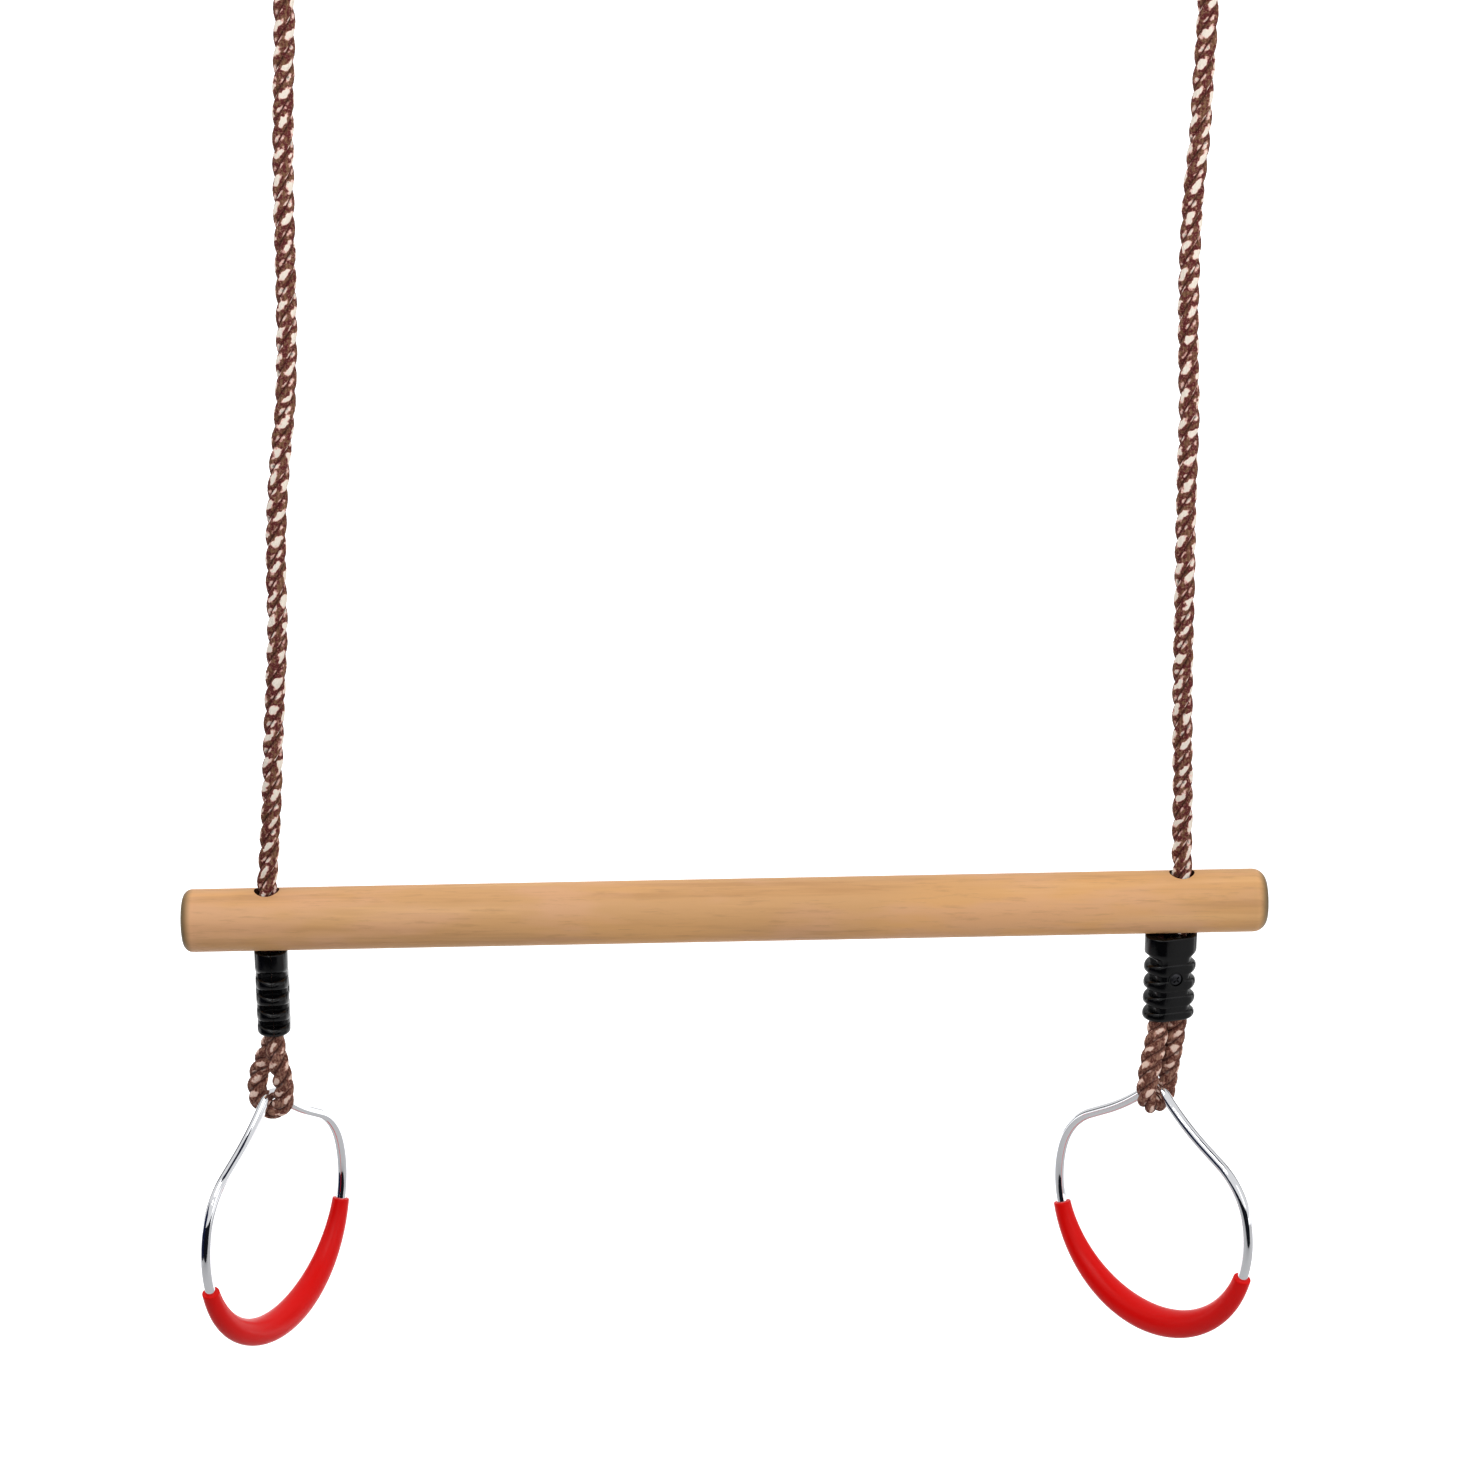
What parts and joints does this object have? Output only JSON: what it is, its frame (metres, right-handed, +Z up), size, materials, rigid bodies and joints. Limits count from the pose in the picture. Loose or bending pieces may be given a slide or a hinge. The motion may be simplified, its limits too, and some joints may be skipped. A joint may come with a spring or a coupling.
{
  "type": "trapeze bar with gymnastics rings",
  "caption": "Wooden trapeze bar hung on braided ropes, with a steel gymnastics ring with a red hand grip hanging below each rope from a finned rope clamp.",
  "frame": {"origin": "the hanging line, where two ceiling hooks bear on the insides of the hanging rings, above the middle of the bar", "axes": "+Z up, X along the bar to its right-hand end, -Y towards the front"},
  "size_m": [0.6003, 0.1317, 0.9237],
  "materials": {
    "wood": "satin",
    "rope": "matte",
    "clamp": "gloss",
    "fastener": "satin",
    "steel": "polished",
    "chrome": "polished",
    "grip": "gloss"
  },
  "bodies": {
    "hangers": {"left_hanging_ring": "steel", "right_hanging_ring": "steel"},
    "trapeze": {"bar": "wood", "left_rope": "rope", "right_rope": "rope", "left_upper_clamp_front": "clamp", "left_upper_clamp_back": "clamp", "left_upper_clamp_screw": "fastener", "left_upper_clamp_nut": "fastener", "right_upper_clamp_front": "clamp", "right_upper_clamp_back": "clamp", "right_upper_clamp_screw": "fastener", "right_upper_clamp_nut": "fastener"},
    "left_drop": {"left_lower_clamp_front": "clamp", "left_lower_clamp_back": "clamp", "left_lower_clamp_screw": "fastener", "left_lower_clamp_nut": "fastener", "left_clamped_rope": "rope"},
    "left_loop": {"left_rope_loop": "rope"},
    "left_ring": {"left_ring_rod": "chrome", "left_ring_grip": "grip"},
    "right_drop": {"right_lower_clamp_front": "clamp", "right_lower_clamp_back": "clamp", "right_lower_clamp_screw": "fastener", "right_lower_clamp_nut": "fastener", "right_clamped_rope": "rope"},
    "right_loop": {"right_rope_loop": "rope"},
    "right_ring": {"right_ring_rod": "chrome", "right_ring_grip": "grip"}
  },
  "joints": [
    {"name": "trapeze_swing", "type": "hinge", "parent": "hangers", "child": "trapeze", "pos_m": [0, 0, -0.041], "axis": [1, 0, 0], "range_deg": [-50, 50]},
    {"name": "left_drop_twist", "type": "hinge", "parent": "trapeze", "child": "left_drop", "pos_m": [-0.2526, 0, -0.6728], "axis": [0, 0, 1], "range_deg": [-90, 90]},
    {"name": "left_loop_rock", "type": "hinge", "parent": "left_drop", "child": "left_loop", "pos_m": [-0.2532, 0.00567, -0.72353], "axis": [-0.8878, 0.4602, 0], "range_deg": [-20, 20]},
    {"name": "left_ring_swing", "type": "hinge", "parent": "left_loop", "child": "left_ring", "pos_m": [-0.25728, 0.00779, -0.76553], "axis": [0.4602, 0.8878, 0], "range_deg": [-75, 75]},
    {"name": "right_drop_twist", "type": "hinge", "parent": "trapeze", "child": "right_drop", "pos_m": [0.2533, 0, -0.6622], "axis": [0, 0, 1], "range_deg": [-90, 90]},
    {"name": "right_loop_rock", "type": "hinge", "parent": "right_drop", "child": "right_loop", "pos_m": [0.24788, -0.00176, -0.71293], "axis": [0.7181, 0.6959, 0], "range_deg": [-20, 20]},
    {"name": "right_ring_swing", "type": "hinge", "parent": "right_loop", "child": "right_ring", "pos_m": [0.24271, -0.00677, -0.75493], "axis": [0.6959, -0.7181, 0], "range_deg": [-75, 75]}
  ]
}
